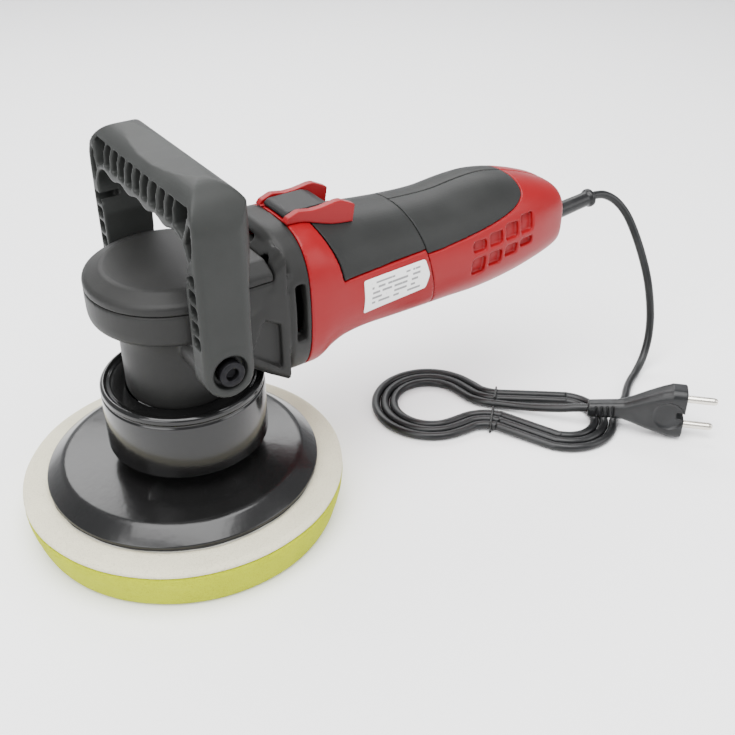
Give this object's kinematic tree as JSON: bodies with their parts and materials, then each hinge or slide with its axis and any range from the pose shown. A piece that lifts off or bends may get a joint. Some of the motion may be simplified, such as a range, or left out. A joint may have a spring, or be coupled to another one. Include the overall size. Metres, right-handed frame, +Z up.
{
  "type": "dual action car polisher",
  "caption": "Electric car polisher with a round foam pad on an eccentric drive, a tilting loop handle over the gear head, a slide switch and a folded mains cord with its plug.",
  "frame": {"origin": "on the output spindle's axis, at the foam pad's working face", "axes": "+Z up along the spindle, +X rearwards along the motor, +Y across to the side with the speed wheel"},
  "size_m": [0.4243, 0.223, 0.214],
  "materials": {
    "yellow_foam": "open-cell foam, matt",
    "cream_foam": "open-cell foam, matt",
    "loop_fabric": "matt",
    "hook_fabric": "matt",
    "plate_black": "gloss",
    "shroud_black": "gloss",
    "gear_case": "painted, satin",
    "handle_plastic": "satin",
    "red_shell": "satin",
    "soft_grip": "matt",
    "switch_plastic": "satin",
    "label": "satin print",
    "inner_plastic": "satin",
    "board": "satin",
    "steel": "turned",
    "dark_steel": "oiled",
    "lamination": "laminated",
    "copper": "wire and bars",
    "brass": "pressed sheet",
    "carbon": "matt",
    "cord_rubber": "semi-gloss",
    "plug_metal": "bright nickel"
  },
  "bodies": {
    "machine": {"shroud": "shroud_black", "gear_housing": "gear_case", "head_cover": "gear_case", "motor_housing": "red_shell", "rear_housing_left": "red_shell", "rear_housing_right": "red_shell", "switch_bezel": "red_shell", "motor_grip": "soft_grip", "rear_grip_left": "soft_grip", "rear_grip_right": "soft_grip", "rating_label": "label", "bearing_bracket": "inner_plastic", "switch_block": "inner_plastic", "cord_tie": "inner_plastic", "control_board": "board", "flange_screw_1": "steel", "flange_screw_2": "steel", "flange_screw_3": "steel", "flange_screw_4": "steel", "lower_spindle_bearing": "steel", "upper_spindle_bearing": "steel", "front_armature_bearing": "steel", "rear_armature_bearing": "steel", "bearing_retainer": "dark_steel", "handle_bolt_left": "dark_steel", "handle_bolt_right": "dark_steel", "stator_core": "lamination", "field_coil_left": "copper", "field_coil_right": "copper", "brush_holder_left": "brass", "brush_holder_right": "brass", "carbon_brush_left": "carbon", "carbon_brush_right": "carbon", "power_cord": "cord_rubber", "cord_hank": "cord_rubber", "strain_relief": "cord_rubber", "plug_body": "cord_rubber", "plug_pin_upper": "plug_metal", "plug_pin_lower": "plug_metal"},
    "spindle_unit": {"spindle": "steel", "crown_gear": "dark_steel", "eccentric_hub": "dark_steel", "counterweight": "dark_steel", "pad_bearing": "steel"},
    "armature": {"armature_shaft": "steel", "armature_core": "copper", "commutator": "copper", "cooling_fan": "inner_plastic", "pinion_gear": "dark_steel"},
    "pad": {"yellow_foam": "yellow_foam", "cream_foam": "cream_foam", "loop_disc": "loop_fabric", "hook_disc": "hook_fabric", "backing_plate": "plate_black", "pad_screw": "steel", "pad_spindle": "steel"},
    "handle": {"d_handle": "handle_plastic"},
    "switch": {"switch_slider": "switch_plastic"},
    "dial": {"speed_dial": "switch_plastic"}
  },
  "joints": [
    {"name": "spindle_spin", "type": "hinge", "parent": "machine", "child": "spindle_unit", "pos_m": [0, 0, 0.1], "axis": [0, 0, 1], "continuous": true},
    {"name": "pad_spin", "type": "hinge", "parent": "spindle_unit", "child": "pad", "pos_m": [-0.00408, 0.0019, 0.06], "axis": [0, 0, 1], "continuous": true},
    {"name": "armature_spin", "type": "hinge", "parent": "machine", "child": "armature", "pos_m": [0.1, 0, 0.125], "axis": [1, 0, 0], "continuous": true},
    {"name": "handle_tilt", "type": "hinge", "parent": "machine", "child": "handle", "pos_m": [0, 0, 0.122], "axis": [0, 1, 0], "range_deg": [-60, 30]},
    {"name": "switch_slide", "type": "slide", "parent": "machine", "child": "switch", "axis": [1, 0, 0], "range_m": [-0.006, 0]},
    {"name": "speed_dial_turn", "type": "hinge", "parent": "machine", "child": "dial", "pos_m": [0.232, 0.0186, 0.121], "axis": [0, 0, 1], "range_deg": [0, 270]}
  ],
  "couplings": [
    {"joint": "armature_spin", "follows": "spindle_spin", "ratio": -3}
  ]
}
